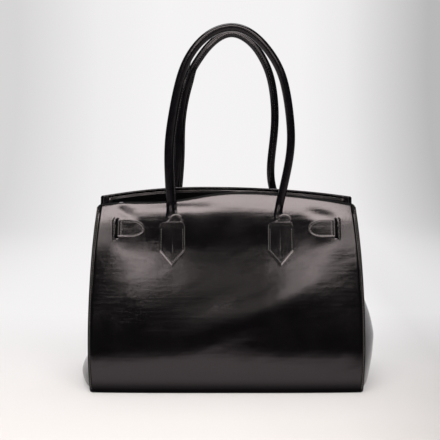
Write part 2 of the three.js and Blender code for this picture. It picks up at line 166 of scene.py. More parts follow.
# Small forms of a panel's face, each a height and a reach: rolled rim, seam groove, seam edge, slot lip
RIM_ROLL, RIM_REACH = 0.9 * MM, 2.2 * MM
GROOVE_DEPTH, GROOVE_HALF = 0.9 * MM, 0.8 * MM
EDGE_FALL, EDGE_REACH = 1.2 * MM, 3 * MM
LIP_RISE, LIP_HALF, LIP_GAP = 1.3 * MM, 1.5 * MM, 1.2 * MM

# Creases of a panel: start x, z, end x, z, half width and rise in millimetres
CREASES = {
    "front": (
        (-122, 228, 8, 231, 4, -0.5),
        (92, 226, 150, 214, 6, -0.9),
        (-110, 36, 160, 157, 26, 2.1),
        (-80, 96, 120, 152, 12, -0.45),
        (112, 16, 180, 50, 13, -0.8),
        (-148, 233, -110, 210, 7, -1.6),
        (-166, 194, -112, 172, 14, 0.5),
        (166, 196, 106, 174, 14, 0.5),
    ),
    "back": (
        (-90, 120, -30, 140, 9, 0.6),
        (40, 90, 110, 104, 10, 0.5),
        (-20, 238, 50, 242, 5, -1.0),
        (-150, 30, -120, 52, 8, 0.6),
    ),
}


def ease(low, high, value):
    """A smooth step from 0 at low to 1 at high."""
    t = np.clip((value - low) / (high - low), 0, 1)
    return t * t * (3 - 2 * t)


def hump(value, half):
    """A bell of height 1 around 0."""
    return np.exp(-((value / half) ** 2))


def half_width(size, z):
    """Half a panel's width at a height."""
    t = z / size.corner_height
    straight = size.base_width / 2 + (size.top_width - size.base_width) / 2 * t
    low = np.clip(1 - z / FOOT_ROUND, 0, 1)
    return straight + size.side_bow * 4 * t * (1 - t) - FOOT_ROUND * (1 - np.sqrt(1 - low ** 2))


def rim_line(size, across, side):
    """Height of the arched rim, for a share from -1 to 1 of the half width; the back one stands higher."""
    corner = size.corner_height + (size.back_lift if side == "back" else 0)
    arch = corner + (size.rim_height - corner) * (1 - across ** 2)
    if side == "front":
        arch = arch - size.rim_dip * hump(across - DIP_PLACE, DIP_HALF)
    else:
        arch = arch + size.back_swell * (RISE_ALL + hump(across - RISE_PLACE, RISE_HALF))
    rounding = size.corner_round * (BACK_CORNER if side == "back" else 1)
    start = 1 - rounding / (size.top_width / 2)
    into = np.clip((np.abs(across) - start) / (1 - start), 0, 1)
    return arch - rounding * (1 - np.sqrt(1 - into ** 2))


@lru_cache
def lean_table(drop):
    """Depth lost to the lean in millimetres, for shares of the half width and for heights."""
    heights = np.arange(0, LEAN_HEIGHTS[-1] + LEAN_STEP, LEAN_STEP)
    shares = np.linspace(0, 1, LEAN_SHARES + 1)[:, None]
    at = heights + ARCH_SHARE * drop * shares ** 2 * ease(ARCH_FROM, ARCH_TO, heights)
    slope = np.tan(np.radians(np.interp(at, LEAN_HEIGHTS, LEAN_ANGLES)))
    steps = (slope[:, 1:] + slope[:, :-1]) / 2 * LEAN_STEP
    return np.concatenate([np.zeros_like(shares), np.cumsum(steps, axis=1)], axis=1)


def lean_lost(size, share, z):
    """Depth lost to the lean at shares of the half width and heights."""
    table = lean_table(round((size.rim_height - size.corner_height) / MM, 3))
    across = np.clip(share, 0, 1) * LEAN_SHARES
    up = np.clip(z / MM / LEAN_STEP, 0, table.shape[1] - 1.001)
    column = np.minimum(across.astype(int), LEAN_SHARES - 1)
    row = up.astype(int)
    beside, above = across - column, up - row
    low = table[column, row] * (1 - beside) + table[column + 1, row] * beside
    high = table[column, row + 1] * (1 - beside) + table[column + 1, row + 1] * beside
    return (low * (1 - above) + high * above) * MM


def crease_rise(creases, x, z):
    """Sum of the soft ridges and hollows at a place on a panel."""
    rise = np.zeros_like(x)
    for x0, z0, x1, z1, width, height in creases:
        start = np.array((x0, z0)) * MM
        run = np.array((x1, z1)) * MM - start
        along = ((x - start[0]) * run[0] + (z - start[1]) * run[1]) / (run @ run)
        inside = np.clip(along, 0, 1)
        away = np.hypot(x - start[0] - inside * run[0], z - start[1] - inside * run[1])
        rise += height * MM * np.sin(np.pi * inside) ** 2 * hump(away, width * MM)
    return rise


def panel_depth(size, x, z, side):
    """Depth of a panel's outer face from the middle plane."""
    half = half_width(size, z)
    share = np.clip(np.abs(x) / half, 0, 1)
    foot = size.foot_depth + lean_lost(size, share, np.full_like(share, FOOT_REFERENCE))
    rising = 0.3 + 0.7 * ease(20 * MM, 150 * MM, z)
    depth = foot - lean_lost(size, share, z) - size.side_draw * share ** 3.5 * rising
    to_rim = rim_line(size, np.clip(x / half, -1, 1), side) - z
    depth = depth - RIM_ROLL * np.maximum(1 - to_rim / RIM_REACH, 0) ** 2
    to_seam = (1 - share) * half
    groove = GROOVE_DEPTH * hump(to_seam - SEAM_BAND, GROOVE_HALF)
    groove = groove + EDGE_FALL * np.clip(1 - to_seam / EDGE_REACH, 0, 1) ** 2
    lip = 0
    if side == "front":
        beside = np.abs(x) - size.slot_place - size.slot_width / 2 - LIP_GAP
        end = size.strap_width / 2
        lip = LIP_RISE * hump(beside, LIP_HALF) * (1 - ease(end, end + 3 * MM, np.abs(z - size.strap_height)))
    return depth - groove + lip + crease_rise(CREASES[side], x, z)


def panel_spot(size, x, z, out, side):
    """Points at a distance out of a panel's face."""
    depth = panel_depth(size, x, z, side)
    right, left = (panel_depth(size, x + step, z, side) for step in (SLOPE_STEP, -SLOPE_STEP))
    above, below = (panel_depth(size, x, z + step, side) for step in (SLOPE_STEP, -SLOPE_STEP))
    slope_x = (right - left) / (2 * SLOPE_STEP)
    slope_z = (above - below) / (2 * SLOPE_STEP)
    length = np.sqrt(1 + slope_x ** 2 + slope_z ** 2)
    spot_depth = depth + out / length
    way = -1 if side == "front" else 1
    return np.stack([x - slope_x / length * out, way * spot_depth, z - slope_z / length * out], axis=-1)


# Making meshes

STITCH_LONG = 2.1 * MM
STITCH_THICK = 0.36 * MM
STITCH_FLAT = 0.85
CLOSE_DISTANCE = 0.02 * MM
FINE_DISTANCE = 0.005 * MM
SMOOTH_ANGLE = math.radians(38)


def grid_piece(name, columns, rows, shape):
    """A grid primitive whose points, as shares from 0 to 1 across and up, are carried to a shape."""
    bpy.ops.object.select_all(action="DESELECT")
    bpy.ops.mesh.primitive_grid_add(x_subdivisions=columns, y_subdivisions=rows, size=2)
    piece = bpy.context.object
    piece.name = piece.data.name = name
    flat = np.empty(len(piece.data.vertices) * 3)
    piece.data.vertices.foreach_get("co", flat)
    shares = flat.reshape(-1, 3)[:, :2] / 2 + 0.5
    piece.data.vertices.foreach_set("co", shape(shares[:, 0], shares[:, 1]).astype(np.float64).ravel())
    piece.data.update()
    return piece


def set_mode(mode):
    """Goes into or out of edit mode."""
    bpy.ops.object.mode_set(mode=mode)


def make_active(piece):
    """Selects one piece alone."""
    bpy.ops.object.select_all(action="DESELECT")
    piece.select_set(True)
    bpy.context.view_layer.objects.active = piece


def soften_edges(piece, width, segments, angle):
    """Bevels the edges that are sharper than an angle."""
    bevel = piece.modifiers.new("edges", "BEVEL")
    bevel.width = width
    bevel.segments = segments
    bevel.limit_method = "ANGLE"
    bevel.angle_limit = math.radians(angle)
    bpy.ops.object.modifier_apply(modifier=bevel.name)


def thicken(piece, thickness, round_edges=0.0):
    """Gives a sheet its thickness on the inner side, with softened edges."""
    make_active(piece)
    solid = piece.modifiers.new("thickness", "SOLIDIFY")
    solid.thickness = thickness
    solid.offset = -1
    bpy.ops.object.modifier_apply(modifier=solid.name)
    if round_edges:
        soften_edges(piece, round_edges, 2, 50)


def delete_faces(piece, chosen):
    """Deletes the faces that a test chooses by their centres."""
    make_active(piece)
    set_mode("EDIT")
    bpy.ops.mesh.select_mode(type="FACE")
    bpy.ops.mesh.select_all(action="DESELECT")
    set_mode("OBJECT")
    for face in piece.data.polygons:
        face.select = chosen(face.center)
    set_mode("EDIT")
    bpy.ops.mesh.delete(type="FACE")
    set_mode("OBJECT")


def merge_and_close(piece, distance=CLOSE_DISTANCE):
    """Merges doubles, closes open ends and turns the faces outwards."""
    make_active(piece)
    set_mode("EDIT")
    bpy.ops.mesh.select_all(action="SELECT")
    bpy.ops.mesh.remove_doubles(threshold=distance)
    bpy.ops.mesh.fill_holes(sides=0)
    bpy.ops.mesh.normals_make_consistent(inside=False)
    set_mode("OBJECT")


def dress(piece, finish, body, replaced=()):
    """Gives a piece its finish and its body, and hides the solids that it stands for."""
    make_active(piece)
    bpy.ops.object.shade_smooth_by_angle(angle=SMOOTH_ANGLE)
    piece.data.materials.clear()
    piece.data.materials.append(finish_of(finish))
    if body:
        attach(piece, body)
    if replaced:
        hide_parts(*replaced)


def unit(rows):
    """Rows of directions brought to length 1."""
    return rows / np.linalg.norm(rows, axis=1, keepdims=True)


@lru_cache
def thread_bar():
    """Points and faces of one small rounded bar of thread, along x."""
    bpy.ops.object.select_all(action="DESELECT")
    bpy.ops.mesh.primitive_uv_sphere_add(segments=6, ring_count=5, radius=1)
    bar = bpy.context.object
    set_mode("EDIT")
    bpy.ops.mesh.select_all(action="SELECT")
    bpy.ops.transform.rotate(value=math.pi / 2, orient_axis="Y", center_override=(0, 0, 0))
    set_mode("OBJECT")
    mesh = bar.data
    form = np.array([vertex.co[:] for vertex in mesh.vertices])
    faces = [list(face.vertices) for face in mesh.polygons]
    bpy.data.objects.remove(bar)
    bpy.data.meshes.remove(mesh)
    return form, faces


def stitch_row(name, spots, ahead, out, thread, body, long=STITCH_LONG, thick=STITCH_THICK):
    """Stitches of one row: a bar of thread, copied along the row."""
    form, faces = thread_bar()
    ahead = unit(ahead)
    out = unit(out - (out * ahead).sum(axis=1, keepdims=True) * ahead)
    aside = np.cross(out, ahead)
    local = form * np.array((long / 2, thick, thick * STITCH_FLAT))
    points = (spots[:, None] + local[None, :, :1] * ahead[:, None] + local[None, :, 1:2] * aside[:, None]
              + local[None, :, 2:] * out[:, None])
    count = len(form)
    every = [[index + row * count for index in face] for row in range(len(spots)) for face in faces]
    row_mesh = bpy.data.meshes.new(name)
    row_mesh.from_pydata(points.reshape(-1, 3).tolist(), [], every)
    piece = bpy.data.objects.new(name, row_mesh)
    bpy.context.collection.objects.link(piece)
    dress(piece, thread, body)


def line_lengths(line):
    """Lengths along a line of points, from its start."""
    return np.concatenate([[0], np.cumsum(np.linalg.norm(np.diff(line, axis=0), axis=1))])


def even_steps(line, pitch):
    """Evenly spaced points along a line of points, with the direction of the line at each."""
    line = np.asarray(line, float)
    lengths = line_lengths(line)
    count = max(int(lengths[-1] / pitch), 2)
    at = (np.arange(count) + 0.5) * lengths[-1] / count
    reach = pitch / 3
    spots, before, after = (
        np.stack([np.interp(wanted, lengths, axis) for axis in line.T], axis=1)
        for wanted in (at, at - reach, at + reach))
    return spots, after - before


def sewn_line(name, corners, pitch, over, rise):
    """Stitches along a flat line of corners, which one function lifts and another carries over a face."""
    flat, ways = even_steps(corners, pitch)
    across, up = flat.T
    step_across, step_up = unit(ways).T * MM
    out = rise(across, up)
    spots = over(across, up, out)
    ahead = over(across + step_across, up + step_up, out) - spots
    stitch_row(name, spots, ahead, over(across, up, out + MM) - spots, "waxed_thread", "body")


# Finishes

PEBBLE_SCALE = 1700
GRAIN_DEPTH = 0.042 * MM
HANDLE_GRAIN = 0.012 * MM
STREAK_SCALE = (0.5, 1, 8)
WRINKLE_SLANT = math.radians(-24)
WRINKLE_SCALE = (0.11, 0.07, 0.03)
LEATHER_SHEEN = (1, 0.9, 0.95, 1)
# Painted shade near the floor: the panel leather's gloss falls to this share between these heights, darkening
# its reflection where the contact shadow falls
FOOT_SHADE_GLOSS = 0.04
FOOT_SHADE_FROM, FOOT_SHADE_TO = 3 * MM, 20 * MM
WALL_FROM, WALL_TO = 0.1, 1.2
GLOW_FROM, GLOW_TO, GLOW_LEAST = -0.22, 0.34, 0.05

# Painted falloff of light across the paper, sideways on the lit floor, the far floor and the wall: ends, then
# stops
PAPER_PAINTED_FALLOFFS = (
    (-0.3, 0.3, ((0.0, 0.66), (0.5, 0.65), (0.72, 0.6), (1.0, 0.42))),
    (-0.3, 0.3, ((0.0, 0.92), (0.5, 0.92), (0.72, 0.93), (0.86, 0.92), (1.0, 0.76))),
    (-0.64, 0.64, ((0.0, 0.68), (0.2, 0.86), (0.36, 0.915), (0.69, 0.905), (0.8, 0.83), (1.0, 0.49))),
)


class Finish:
    """A material in the making: its nodes, its principled shader and its object coordinates."""

    def __init__(self, name):
        self.material = bpy.data.materials.new(name)
        self.material.use_nodes = True
        self.nodes = self.material.node_tree.nodes
        self.shader = self.nodes["Principled BSDF"]
        self.place = self.node("TexCoord", {}).outputs["Object"]

    def feed(self, node, inputs):
        """Gives a node's inputs their values or links."""
        for key, value in inputs.items():
            if isinstance(value, bpy.types.NodeSocket):
                self.material.node_tree.links.new(value, node.inputs[key])
            else:
                node.inputs[key].default_value = value

    def node(self, kind, inputs, **settings):
        """A new node with its settings and inputs."""
        node = self.nodes.new("ShaderNode" + kind)
        for key, value in settings.items():
            setattr(node, key, value)
        self.feed(node, inputs)
        return node

    def noise(self, scale, detail, roughness=0.5, place=None):
        """A noise texture on the object's coordinates or on another place."""
        inputs = {"Vector": place or self.place, "Scale": scale, "Detail": detail, "Roughness": roughness}
        return self.node("TexNoise", inputs).outputs["Fac"]

    def wave(self, direction, scale, distortion):
        """A wave texture's bands."""
        inputs = {"Vector": self.place, "Scale": scale, "Distortion": distortion}
        return self.node("TexWave", inputs, bands_direction=direction).outputs["Fac"]

    def spread(self, value, low, high, start=0.3, end=0.7, **settings):
        """Carries a value to a range."""
        inputs = {"Value": value, "From Min": start, "From Max": end, "To Min": low, "To Max": high}
        return self.node("MapRange", inputs, **settings).outputs["Result"]

    def mix(self, factor, first, second, blend="MIX"):
        """Mixes two colours by a factor."""
        inputs = {"Factor": factor, "A": first, "B": second}
        return self.node("Mix", inputs, data_type="RGBA", blend_type=blend).outputs["Result"]

    def tint(self, value, low, high):
        """Mixes two plain colours by a texture's value."""
        return self.mix(self.spread(value, 0, 1), (*low, 1), (*high, 1))

    def combine(self, operation, first, second):
        """Combines two values by an operation."""
        return self.node("Math", {0: first, 1: second}, operation=operation).outputs["Value"]

    def bumps(self, *layers):
        """A chain of bumps on the shader, each a height, its strength and its depth."""
        chain = {}
        for height, strength, depth in layers:
            bump = self.node("Bump", {"Height": height, "Strength": strength, "Distance": depth, **chain})
            chain = {"Normal": bump.outputs["Normal"]}
        self.feed(self.shader, chain)


def lighter(colour, times):
    """A colour made lighter."""
    return tuple(channel * times for channel in colour)


def smooth_leather(name, colour, roughness, grain, gloss, painted_foot_shade=False):
    """Smooth calf leather: fine grain, drawn streaks, slow waves and a polish that varies; where asked,
    painted shade darkens its reflection towards the floor.
    """
    made = Finish(name)
    place = made.place
    cells = {"Vector": place, "Scale": PEBBLE_SCALE, "Smoothness": 0.8}
    pebbles = made.node("TexVoronoi", cells, feature="SMOOTH_F1").outputs["Distance"]
    drawn = made.node("Mapping", {"Vector": place, "Scale": STREAK_SCALE}).outputs["Vector"]
    slant = {"Vector": place, "Rotation": (0, WRINKLE_SLANT, 0), "Scale": WRINKLE_SCALE}
    slanted = made.node("Mapping", slant, vector_type="TEXTURE").outputs["Vector"]
    shine = gloss
    # Painted shade: the gloss fades towards the floor, standing in for the contact shadow in the reflection
    if painted_foot_shade:
        height = made.node("SeparateXYZ", {"Vector": place}).outputs["Z"]
        shine = made.spread(height, FOOT_SHADE_GLOSS * gloss, gloss, FOOT_SHADE_FROM, FOOT_SHADE_TO,
                            interpolation_type="SMOOTHSTEP")
    made.feed(made.shader, {
        "Base Color": made.tint(made.noise(70, 6, 0.6), colour, lighter(colour, 1.5)),
        "Roughness": made.spread(made.noise(24, 5), roughness - 0.03, roughness + 0.04),
        "Specular IOR Level": shine,
        "Specular Tint": LEATHER_SHEEN,
    })
    made.bumps(
        (made.noise(15, 2), 1, 0.7 * MM),
        (made.noise(1, 2, place=slanted), 1, 0.45 * MM),
        (made.noise(50, 3), 1, 0.12 * MM),
        (made.noise(30, 4, place=drawn), 1, 0.07 * MM),
        (pebbles, 1, grain),
    )
    return made.material


def grained(name, texture, dark, light, rough, bump, gloss=0.5):
    """A plain finish whose colour, roughness and bump follow one noise."""
    made = Finish(name)
    grain = made.noise(*texture)
    made.feed(made.shader, {
        "Base Color": made.tint(grain, dark, light),
        "Roughness": made.spread(grain, *rough),
        "Specular IOR Level": gloss,
    })
    made.bumps((grain, *bump))
    return made.material


def waxed_thread(name, colour):
    """Waxed thread with a twist."""
    return grained(name, (2600, 2), colour, lighter(colour, 2.4), (0.38, 0.55), (0.4, 0.2 * MM))


def painted_edge(name):
    """Matt black edge paint with a faint brush grain."""
    dark, light = (0.0009, 0.0008, 0.001), (0.0018, 0.0017, 0.0019)
    return grained(name, (900, 3), dark, light, (0.6, 0.75), (0.3, 0.2 * MM), 0.08)


def pressed_board(name):
    """Brown pressed fibre board."""
    return grained(name, (240, 8, 0.7), (0.1, 0.075, 0.05), (0.2, 0.16, 0.11), (0.75, 0.95), (0.3, 0.4 * MM))


def woven_lining(name, colour):
    """Matt lining cloth with a fine twill weave."""
    made = Finish(name)
    slubs = made.noise(320, 3)
    made.feed(made.shader, {
        "Base Color": made.tint(slubs, colour, lighter(colour, 2.2)),
        "Roughness": made.spread(slubs, 0.78, 0.92),
        "Sheen Weight": 0.15,
    })
    made.bumps(*((made.wave(direction, 420, 0.6), 0.3, 0.3 * MM) for direction in "XZ"))
    return made.material


def cotton_cord(name):
    """Natural cotton cord with a slanting lay."""
    made = Finish(name)
    lay = made.wave("DIAGONAL", 120, 1.5)
    colour = made.mix(lay, (0.36, 0.3, 0.21, 1), (0.55, 0.48, 0.36, 1))
    made.feed(made.shader, {"Base Color": colour, "Roughness": 0.9})
    made.bumps((lay, 0.5, 0.6 * MM))
    return made.material


def studio_paper(name, colour):
    """Pale paper, lit on the floor and bright by itself on the far wall, with painted falloff of light
    darkening its colour and glow sideways.
    """
    made = Finish(name)
    axes = made.node("SeparateXYZ", {"Vector": made.place}).outputs
    painted_falloffs = []
    for left, right, stops in PAPER_PAINTED_FALLOFFS:
        ramp = made.node("ValToRGB", {"Fac": made.spread(axes["X"], 0, 1, left, right)})
        marks = ramp.color_ramp.elements
        while len(marks) < len(stops):
            marks.new(0.5)
        for mark, (at, grey) in zip(marks, stops):
            mark.position = at
            mark.color = (grey, grey * 0.985, grey * 0.99, 1)
        painted_falloffs.append(ramp.outputs["Color"])
    # Painted falloff of light: the floor's colour darkens towards the right
    lit = made.mix(1, painted_falloffs[0], (*colour, 1), "MULTIPLY")
    made.feed(made.shader, {"Base Color": lit, "Roughness": 0.9, "Specular IOR Level": 0.1})
    # Painted falloff of light in the glow: darker at the far floor's right and at the wall's edges
    bright = made.mix(made.spread(axes["Y"], 0, 1, WALL_FROM, WALL_TO), painted_falloffs[1], painted_falloffs[2])
    glow = made.node("Emission", {"Color": bright, "Strength": 1})
    rays = made.node("LightPath", {}).outputs
    seen = made.combine("MAXIMUM", rays["Is Camera Ray"], rays["Is Glossy Ray"])
    clear = made.combine("MAXIMUM", seen, rays["Is Transmission Ray"])
    far = made.combine("MULTIPLY", clear, made.spread(axes["Y"], GLOW_LEAST, 1, GLOW_FROM, GLOW_TO))
    both = made.node("MixShader", {0: far, 1: made.shader.outputs["BSDF"], 2: glow.outputs["Emission"]})
    made.feed(made.nodes["Material Output"], {"Surface": both.outputs["Shader"]})
    return made.material


def finish_of(name):
    """The tote's finishes, each made once."""
    made = bpy.data.materials.get(name)
    if made:
        return made
    colours = bpy.context.scene.tote_colours
    makers = {
        # The panel leather carries painted shade in its reflection near the floor
        "calf_panel": (smooth_leather, colours.panel, 0.1, GRAIN_DEPTH, 0.58, True),
        "calf_gusset": (smooth_leather, colours.panel, 0.1, GRAIN_DEPTH, 0.58),
        "calf_trim": (smooth_leather, colours.trim, 0.12, GRAIN_DEPTH, 0.55),
        "calf_handle": (smooth_leather, colours.handle, 0.16, HANDLE_GRAIN, 0.32),
        "lining_twill": (woven_lining, colours.lining),
        "waxed_thread": (waxed_thread, colours.thread),
        "seam_thread": (waxed_thread, colours.seam_thread),
        "handle_thread": (waxed_thread, colours.handle_thread),
        "painted_edge": (painted_edge,),
        "pressed_board": (pressed_board,),
        "cotton_cord": (cotton_cord,),
        "studio_paper": (studio_paper, colours.paper),
    }
    maker, *values = makers[name]
    return maker(name, *values)


# Pieces of the body

BODY_HANDS = (("right", 1), ("left", -1))
INNER_SIDES = (("front", -1), ("back", 1))
SLOT_EASE = 0.6 * MM
PANEL_EDGE = 0.5 * MM
THIN_EDGE = 0.3 * MM
RIM_UPWARDS = 0.7


class TOTE_OT_panels(bpy.types.Operator):
    """Front and back panel, leaning shells with soft creases, and the strap slots in the front one"""

    bl_idname = "tote.panels"
    bl_label = "Panels"

    def execute(self, context):
        size = context.scene.tote_sizes
        for side, turn in (("front", 1), ("back", -1)):

            def shape(u, v):
                across = turn * (2 * u - 1)
                z = size.foot_gap + v * (rim_line(size, across, side) - size.foot_gap)
                return panel_spot(size, across * half_width(size, z), z, 0, side)

            def in_slot(place):
                near = abs(abs(place.x) - size.slot_place) < size.slot_width / 2
                return near and abs(place.z - size.strap_height) < size.strap_width / 2 + SLOT_EASE

            piece = grid_piece(f"{side}_panel_leather", size.grid_columns, size.grid_rows, shape)
            if side == "front":
                delete_faces(piece, in_slot)
            thicken(piece, size.leather, PANEL_EDGE)
            dress(piece, "calf_panel", "body", [f"{side}_panel"])
            piece.data.materials.append(finish_of("painted_edge"))
            for face in piece.data.polygons:
                place = face.center
                at_seam = abs(place.x) > half_width(size, place.z) - SEAM_BAND
                at_rim = face.normal.z > RIM_UPWARDS and place.z > size.corner_height - size.rim_dip
                face.material_index = int(at_seam or at_rim)
        return {"FINISHED"}


# How far each gusset stands out of its seam line at heights, both in millimetres
SWELLS = {
    "right": (
        (0, 20), (20, 23), (36, 25), (60, 26.3), (85, 20.5),
        (101, 15), (120, 7), (150, -1), (190, -9), (230, -20),
    ),
    "left": (
        (0, 21), (12, 24.5), (22, 20), (34, 11), (46, 6),
        (80, 4), (120, 3), (150, 0), (190, -8), (230, -20),
    ),
}
GUSSET_LEATHER = 1.6 * MM
GUSSET_GAP = 0.9 * MM
GUSSET_FOOT = 2.2 * MM
GUSSET_DROP = 4 * MM
GUSSET_TURN = 3 * MM
TURN_SHARE = 0.07
FLANGE_SHARE = 0.05
FLANGE_LEAN = 0.004
FOLD_DEPTH = 2.2 * MM
FOLD_HALF = 0.16
RIPPLE_RISE = 0.7 * MM
RIPPLE_LENGTH = 17 * MM


def gusset_swell(hand, z):
    """A gusset's swell at heights, smoothed between its stations."""
    heights, swells = zip(*SWELLS[hand])
    reach = np.linspace(-9, 9, 13)
    weights = hump(reach, 6)
    near = np.stack([np.interp(z / MM + step, heights, swells) for step in reach])
    return (near * weights[:, None]).sum(axis=0) / weights.sum() * MM


def gusset_points(size, hand, across, z, inside):
    """A gusset's points, across from -1 at the front seam to 1 at the back one, at a depth inside."""
    edge = half_width(size, z)
    front, back = (panel_depth(size, edge - 2 * MM, z, side) - size.leather for side in ("front", "back"))
    reach = np.where(across < 0, front, back) - GUSSET_GAP - inside * 0.6
    rising = ease(30 * MM, 90 * MM, z)
    fold = FOLD_DEPTH * hump(across, FOLD_HALF) * ease(40 * MM, 120 * MM, z)
    ripple = RIPPLE_RISE * np.sin(z / RIPPLE_LENGTH) * np.sin(across * 2.4) * rising
    round_off = np.maximum(np.cos(np.pi / 2 * across), 0) ** (0.7 + 0.3 * rising)
    out = edge - size.seam + gusset_swell(hand, z) * round_off - fold + ripple - inside
    return out, across * reach


class TOTE_OT_gussets(bpy.types.Operator):
    """Two gussets that swell low down and fold in at the mouth, with seam edges that meet the panels"""

    bl_idname = "tote.gussets"
    bl_label = "Gussets"

    def execute(self, context):
        size = context.scene.tote_sizes
        turned = GUSSET_FOOT + GUSSET_TURN
        tall = size.corner_height - GUSSET_DROP - turned
        for hand, way in BODY_HANDS:

            def shape(u, v):
                under = np.clip(v / TURN_SHARE, 0, 1) * math.pi / 2
                rising = np.clip((v - TURN_SHARE) / (1 - TURN_SHARE), 0, 1)
                z = turned - GUSSET_TURN * np.cos(under) + rising * tall
                over = (2 * u - 1) * (1 + FLANGE_SHARE)
                x, y = gusset_points(size, hand, np.clip(over, -1, 1), z, 0)
                past = np.clip((np.abs(over) - 1) / FLANGE_SHARE, 0, 1)
                edge = half_width(size, z)
                x = x + past * (edge - x)
                x = edge + (x - edge) * np.sin(under)
                return np.stack([way * x, way * y * (1 + FLANGE_LEAN * past), z], axis=-1)

            piece = grid_piece(f"{hand}_gusset_leather", 84, 90, shape)
            thicken(piece, GUSSET_LEATHER, THIN_EDGE)
            dress(piece, "calf_gusset", "body", [f"{hand}_gusset"])
        return {"FINISHED"}


def rounded_plate(name, wide, deep, low, high, corner):
    """A flat plate with rounded corners and softened edges."""
    bpy.ops.object.select_all(action="DESELECT")
    bpy.ops.mesh.primitive_cube_add(size=1, location=(0, 0, (low + high) / 2))
    piece = bpy.context.object
    piece.name = piece.data.name = name
    piece.scale = (wide, deep, high - low)
    bpy.ops.object.transform_apply(location=True, rotation=True, scale=True)
    set_mode("EDIT")
    bpy.ops.mesh.select_all(action="DESELECT")
    set_mode("OBJECT")
    spots = piece.data.vertices
    for edge in piece.data.edges:
        first, second = (spots[index].co for index in edge.vertices)
        edge.select = abs(first.z - second.z) > (high - low) / 2
    set_mode("EDIT")
    bpy.ops.mesh.select_mode(type="EDGE")
    bpy.ops.mesh.bevel(offset=corner, segments=6)
    set_mode("OBJECT")
    soften_edges(piece, 0.7 * MM, 3, 30)
    return piece


class TOTE_OT_base(bpy.types.Operator):
    """Base leather under the bag, and the stiff board on it"""

    bl_idname = "tote.base"
    bl_label = "Base"

    def execute(self, context):
        size = context.scene.tote_sizes
        wide = size.base_width - 5 * MM
        deep = 2 * (BASE_HIGH[1] - 2 * MM)
        piece = rounded_plate("base_leather", wide, deep, 0, size.base_leather, 4 * MM)
        dress(piece, "painted_edge", "body", ["base_panel"])
        low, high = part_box("base_board")
        board = rounded_plate("base_board_fibre", wide - 14 * MM, deep - 10 * MM, low[2], high[2], 8 * MM)
        dress(board, "pressed_board", "body", ["base_board"])
        return {"FINISHED"}


LINING_CLOTH = 0.5 * MM
LINING_SHARE, GUSSET_SHARE = 0.93, 0.94
LINING_SAG = 0.25 * MM
LINING_FOOT = 7.5 * MM
LINING_DROP = 7 * MM
LINING_INSIDE = 4.6 * MM
GUSSET_INSIDE = 2.6 * MM
SEWING_SLACK = 1.02


def declare_lining(piece, node):
    """Makes a sheet of lining cloth out of a surface; its flat size is worked out but not used."""
    area = sum(face.area for face in piece.data.polygons)
    spans = np.ptp(np.array([vertex.co[:] for vertex in piece.data.vertices]), axis=0)
    sides = sorted(spans, reverse=True)[:2]
    sides[1] = max(sides[1], SEWING_SLACK * area / sides[0])
    thicken(piece, LINING_CLOTH)
    dress(piece, "lining_twill", "body", [node])


class TOTE_OT_lining(bpy.types.Operator):
    """Cloth lining: front, back, two gussets and base"""

    bl_idname = "tote.lining"
    bl_label = "Lining"

    def execute(self, context):
        size = context.scene.tote_sizes
        for side, turn in INNER_SIDES:

            def wall(u, v):
                across = turn * (2 * u - 1) * LINING_SHARE
                z = LINING_FOOT + v * (rim_line(size, across, side) - LINING_DROP - LINING_FOOT)
                return panel_spot(size, across * half_width(size, z), z, -LINING_INSIDE, side)

            piece = grid_piece(f"{side}_lining_cloth", 80, 60, wall)
            declare_lining(piece, f"{side}_lining")
        for hand, way in BODY_HANDS:

            def end(u, v):
                z = LINING_FOOT + v * (size.corner_height - GUSSET_DROP - 1 * MM - LINING_FOOT)
                x, y = gusset_points(size, hand, (1 - 2 * u) * GUSSET_SHARE, z, GUSSET_INSIDE)
                return np.stack([way * x, way * y, z], axis=-1)

            piece = grid_piece(f"{hand}_gusset_lining_cloth", 48, 60, end)
            declare_lining(piece, f"{hand}_gusset_lining")
        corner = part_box("base_lining")[1]

        def floor(u, v):
            x = (2 * u - 1) * (corner[0] - 3 * MM)
            y = (2 * v - 1) * (corner[1] - 6 * MM)
            sag = LINING_SAG * np.sin(x / (31 * MM)) * np.cos(y / (23 * MM))
            return np.stack([x, y, corner[2] + 0.3 * MM + sag], axis=-1)

        piece = grid_piece("base_lining_cloth", 60, 30, floor)
        declare_lining(piece, "base_lining")
        return {"FINISHED"}


FACING_HEIGHT = 13 * MM
FACING_DROP = 2.4 * MM
FACING_SHARE = 0.94
FACING_INSIDE, FACING_FALL = 3.7 * MM, 2.2 * MM
FACING_LEATHER = 1.4 * MM


class TOTE_OT_facings(bpy.types.Operator):
    """Leather facings inside the rim of both panels"""

    bl_idname = "tote.facings"
    bl_label = "Rim facings"

    def execute(self, context):
        size = context.scene.tote_sizes
        for side, turn in INNER_SIDES:

            def shape(u, v):
                across = turn * (2 * u - 1) * FACING_SHARE
                below = (1 - v) * FACING_HEIGHT
                z = rim_line(size, across, side) - FACING_DROP - below
                inside = FACING_INSIDE + np.minimum(below * 1.1, FACING_FALL)
                return panel_spot(size, across * half_width(size, z), z, -inside, side)

            piece = grid_piece(f"{side}_rim_facing_leather", 120, 26, shape)
            thicken(piece, FACING_LEATHER, THIN_EDGE)
            dress(piece, "calf_trim", "body", [f"{side}_rim_facing"])
        return {"FINISHED"}


# Tabs, straps and handles

